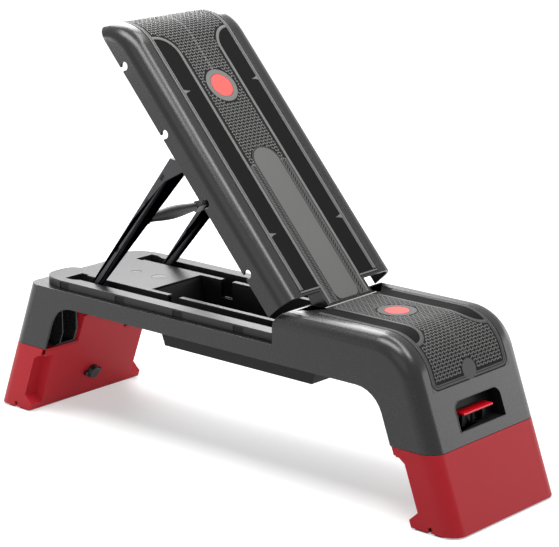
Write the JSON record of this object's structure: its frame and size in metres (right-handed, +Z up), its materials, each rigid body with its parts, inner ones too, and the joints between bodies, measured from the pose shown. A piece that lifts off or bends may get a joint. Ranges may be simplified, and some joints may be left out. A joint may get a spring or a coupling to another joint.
{
  "type": "adjustable weight bench",
  "caption": "Long low step deck whose backrest rises on a folding prop, with fold-in red legs, hand-hold latches and an open storage well.",
  "frame": {"origin": "on the floor, under the centre of the bench", "axes": "+X along the bench towards the seat end, +Y across it, +Z up"},
  "size_m": [1.2258, 0.325, 0.849],
  "materials": {
    "black_plastic": "fine pebbled, satin",
    "inner_plastic": "matt",
    "rubber": "moulded lozenge tread",
    "grey_inlay": "smooth matt",
    "coral_inlay": "smooth matt",
    "red_plastic": "satin",
    "lever_red": "gloss",
    "steel": "plain",
    "coated_steel": "satin black"
  },
  "bodies": {
    "base": {"backrest_hinge_pin": "steel", "body_shell": "black_plastic", "deck_panel": "black_plastic", "handle_cup_left": "inner_plastic", "handle_cup_right": "inner_plastic", "latch_spring_left": "steel", "latch_spring_right": "steel", "leg_hinge_pin_left": "steel", "leg_hinge_pin_right": "steel", "panel_screw_1": "steel", "panel_screw_2": "steel", "panel_screw_3": "steel", "panel_screw_4": "steel", "panel_screw_5": "steel", "panel_screw_6": "steel", "prop_pivot_pin_far": "steel", "prop_pivot_pin_near": "steel", "seat_mat": "rubber", "seat_mat_dot": "coral_inlay", "storage_tray": "inner_plastic"},
    "backrest": {"backrest_badge": "grey_inlay", "backrest_mat": "rubber", "backrest_mat_dot": "coral_inlay", "backrest_ribs": "inner_plastic", "backrest_shell": "black_plastic", "rack_fin_far": "inner_plastic", "rack_fin_near": "inner_plastic"},
    "prop": {"grip_bracket_far": "black_plastic", "grip_bracket_near": "black_plastic", "grip_crossbar": "steel", "prop_arm_far": "coated_steel", "prop_arm_near": "coated_steel", "prop_grip": "rubber"},
    "leg_left": {"foot_pad_left_a": "rubber", "foot_pad_left_b": "rubber", "leg_cover_left": "red_plastic", "leg_shell_left": "red_plastic"},
    "leg_right": {"foot_pad_right_a": "rubber", "foot_pad_right_b": "rubber", "leg_cover_right": "red_plastic", "leg_shell_right": "red_plastic"},
    "knob_left": {"leg_knob_left": "black_plastic"},
    "knob_right": {"leg_knob_right": "black_plastic"},
    "lever_left": {"latch_bolt_left": "inner_plastic", "latch_lever_left": "lever_red"},
    "lever_right": {"latch_bolt_right": "inner_plastic", "latch_lever_right": "lever_red"}
  },
  "joints": [
    {"name": "backrest_hinge", "type": "hinge", "parent": "base", "child": "backrest", "pos_m": [0.219, 0, 0.32], "axis": [0, 1, 0], "range_deg": [-48.5, 0]},
    {"name": "prop_hinge", "type": "hinge", "parent": "base", "child": "prop", "pos_m": [-0.375, 0, 0.275], "axis": [0, -1, 0], "range_deg": [-52.4, 0]},
    {"name": "leg_right_fold", "type": "hinge", "parent": "base", "child": "leg_right", "pos_m": [0.465, 0, 0.215], "axis": [0, 1, 0], "range_deg": [0, 110.15]},
    {"name": "leg_left_fold", "type": "hinge", "parent": "base", "child": "leg_left", "pos_m": [-0.465, 0, 0.215], "axis": [0, -1, 0], "range_deg": [0, 110.15]},
    {"name": "knob_right_turn", "type": "hinge", "parent": "leg_right", "child": "knob_right", "pos_m": [0.49034, 0, 0.056], "axis": [-0.9388, 0, -0.3445], "range_deg": [0, 90]},
    {"name": "knob_left_turn", "type": "hinge", "parent": "leg_left", "child": "knob_left", "pos_m": [-0.49034, 0, 0.056], "axis": [0.9388, 0, -0.3445], "range_deg": [0, 90]},
    {"name": "lever_right_lift", "type": "slide", "parent": "base", "child": "lever_right", "axis": [0, 0, 1], "range_m": [0, 0.008], "stiffness_N_per_m": 600, "springref_m": -0.004, "deforming": ["latch_spring_right"]},
    {"name": "lever_left_lift", "type": "slide", "parent": "base", "child": "lever_left", "axis": [0, 0, 1], "range_m": [0, 0.008], "stiffness_N_per_m": 600, "springref_m": -0.004, "deforming": ["latch_spring_left"]}
  ],
  "couplings": [
    {"joint": "prop_hinge", "follows": "backrest_hinge", "ratio": 1.08}
  ]
}
